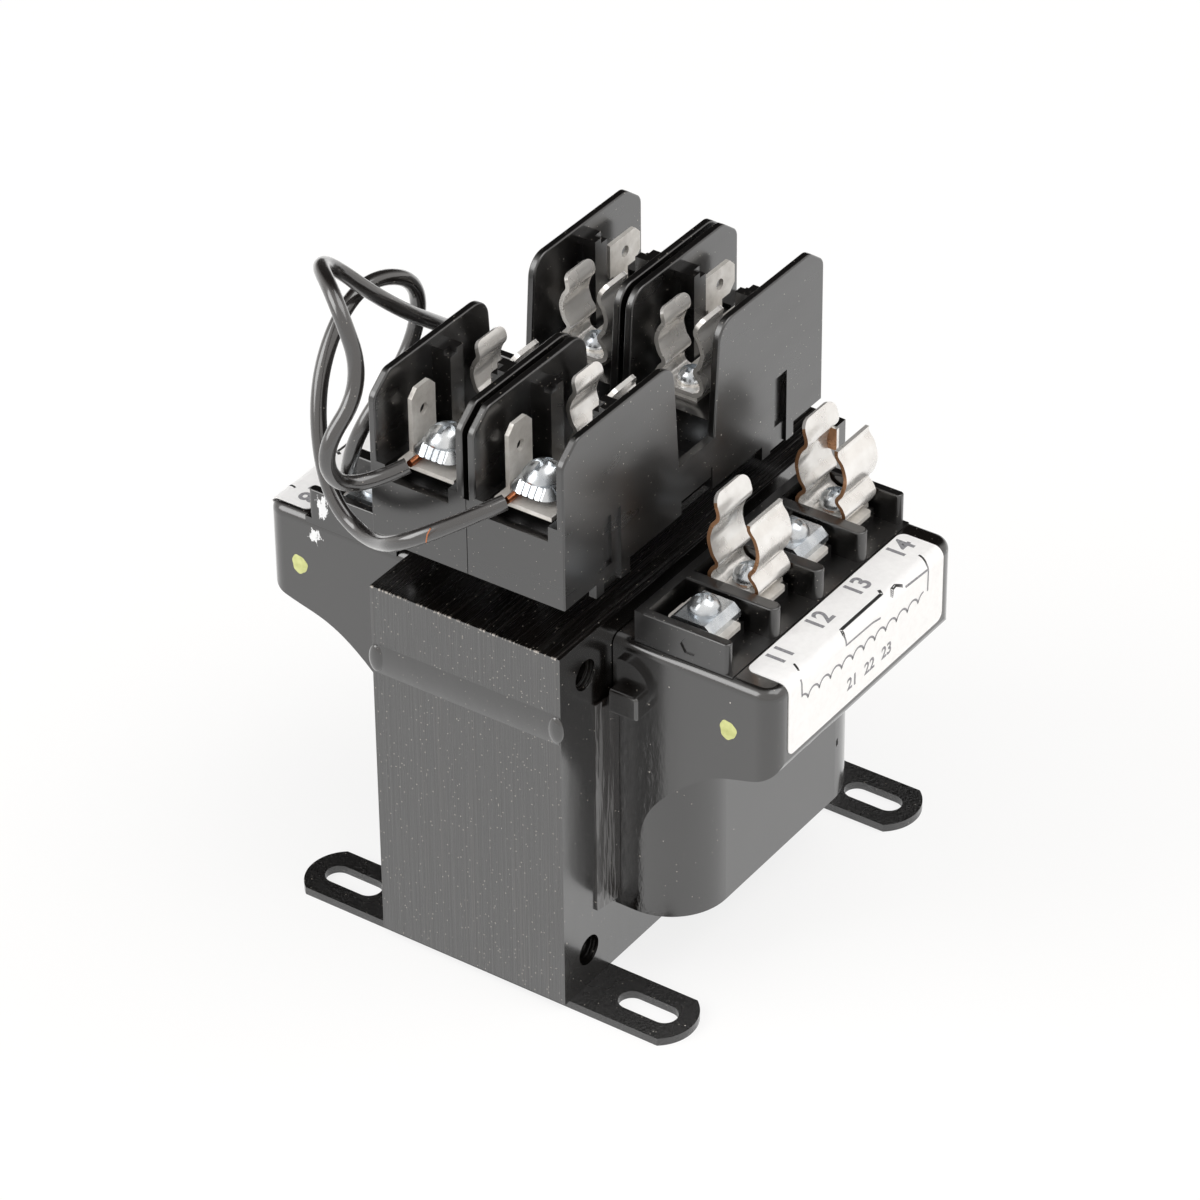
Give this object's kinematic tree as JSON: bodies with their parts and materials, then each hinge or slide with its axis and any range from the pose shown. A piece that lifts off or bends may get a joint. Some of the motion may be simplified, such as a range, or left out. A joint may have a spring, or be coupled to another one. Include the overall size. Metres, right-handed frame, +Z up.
{
  "type": "transformer",
  "caption": "Control transformer with a flared moulded coil case, barrier terminals, slotted foot straps and a two-pole fuse block on top.",
  "frame": {"origin": "centre of the four foot slots, on the mounting plane", "axes": "+X through the lamination stack towards the labelled shelf, +Y across the laminations away from the line terminals, +Z up from the mounting plane"},
  "size_m": [0.1034, 0.0979, 0.129],
  "materials": {
    "steel_sheet": "black varnished lamination steel",
    "zinc_steel": "black varnished steel strip",
    "black_moulding": "black moulded thermoset",
    "case_moulding": "black varnished moulded case",
    "nylon": "natural moulded bobbin",
    "copper_wire": "enamelled copper winding",
    "tape": "polyester tape",
    "liner": "varnished insulation paper",
    "label_film": "printed film label",
    "tinned_clip": "tin-plated spring bronze",
    "brass_plate": "tinned brass",
    "zinc_screw": "zinc-plated steel",
    "copper_core": "bare drawn copper conductor",
    "insulation": "black extruded wire insulation"
  },
  "bodies": {
    "root": {"block_bracket": "zinc_steel", "clip_screws": "zinc_screw", "coil_bobbin": "nylon", "coil_case": "case_moulding", "e_laminations": "steel_sheet", "front_foot": "zinc_steel", "front_slot_liner": "liner", "front_weld_bead": "steel_sheet", "i_laminations": "steel_sheet", "lead_a": "insulation", "lead_b": "insulation", "lead_cores": "copper_core", "left_front_clip": "tinned_clip", "left_line_plate": "brass_plate", "left_load_plate": "brass_plate", "left_pole_block": "black_moulding", "left_rear_clip": "tinned_clip", "line_clamps": "zinc_screw", "line_screws": "zinc_screw", "pole_mounting_screws": "zinc_screw", "primary_clamps": "zinc_screw", "primary_label": "label_film", "primary_plate_1": "brass_plate", "primary_plate_2": "brass_plate", "primary_plate_3": "brass_plate", "primary_plate_4": "brass_plate", "primary_terminal_block": "black_moulding", "primary_terminal_screws": "zinc_screw", "primary_winding": "copper_wire", "rear_foot": "zinc_steel", "rear_slot_liner": "liner", "rear_weld_bead": "steel_sheet", "right_front_clip": "tinned_clip", "right_line_plate": "brass_plate", "right_load_plate": "brass_plate", "right_pole_block": "black_moulding", "right_rear_clip": "tinned_clip", "secondary_clamps": "zinc_screw", "secondary_clip_screws": "zinc_screw", "secondary_front_clip": "tinned_clip", "secondary_label": "label_film", "secondary_plate_1": "brass_plate", "secondary_plate_2": "brass_plate", "secondary_plate_3": "brass_plate", "secondary_plate_4": "brass_plate", "secondary_rear_clip": "tinned_clip", "secondary_terminal_block": "black_moulding", "secondary_terminal_screws": "zinc_screw", "secondary_winding": "copper_wire", "winding_tape": "tape"}
  },
  "joints": []
}
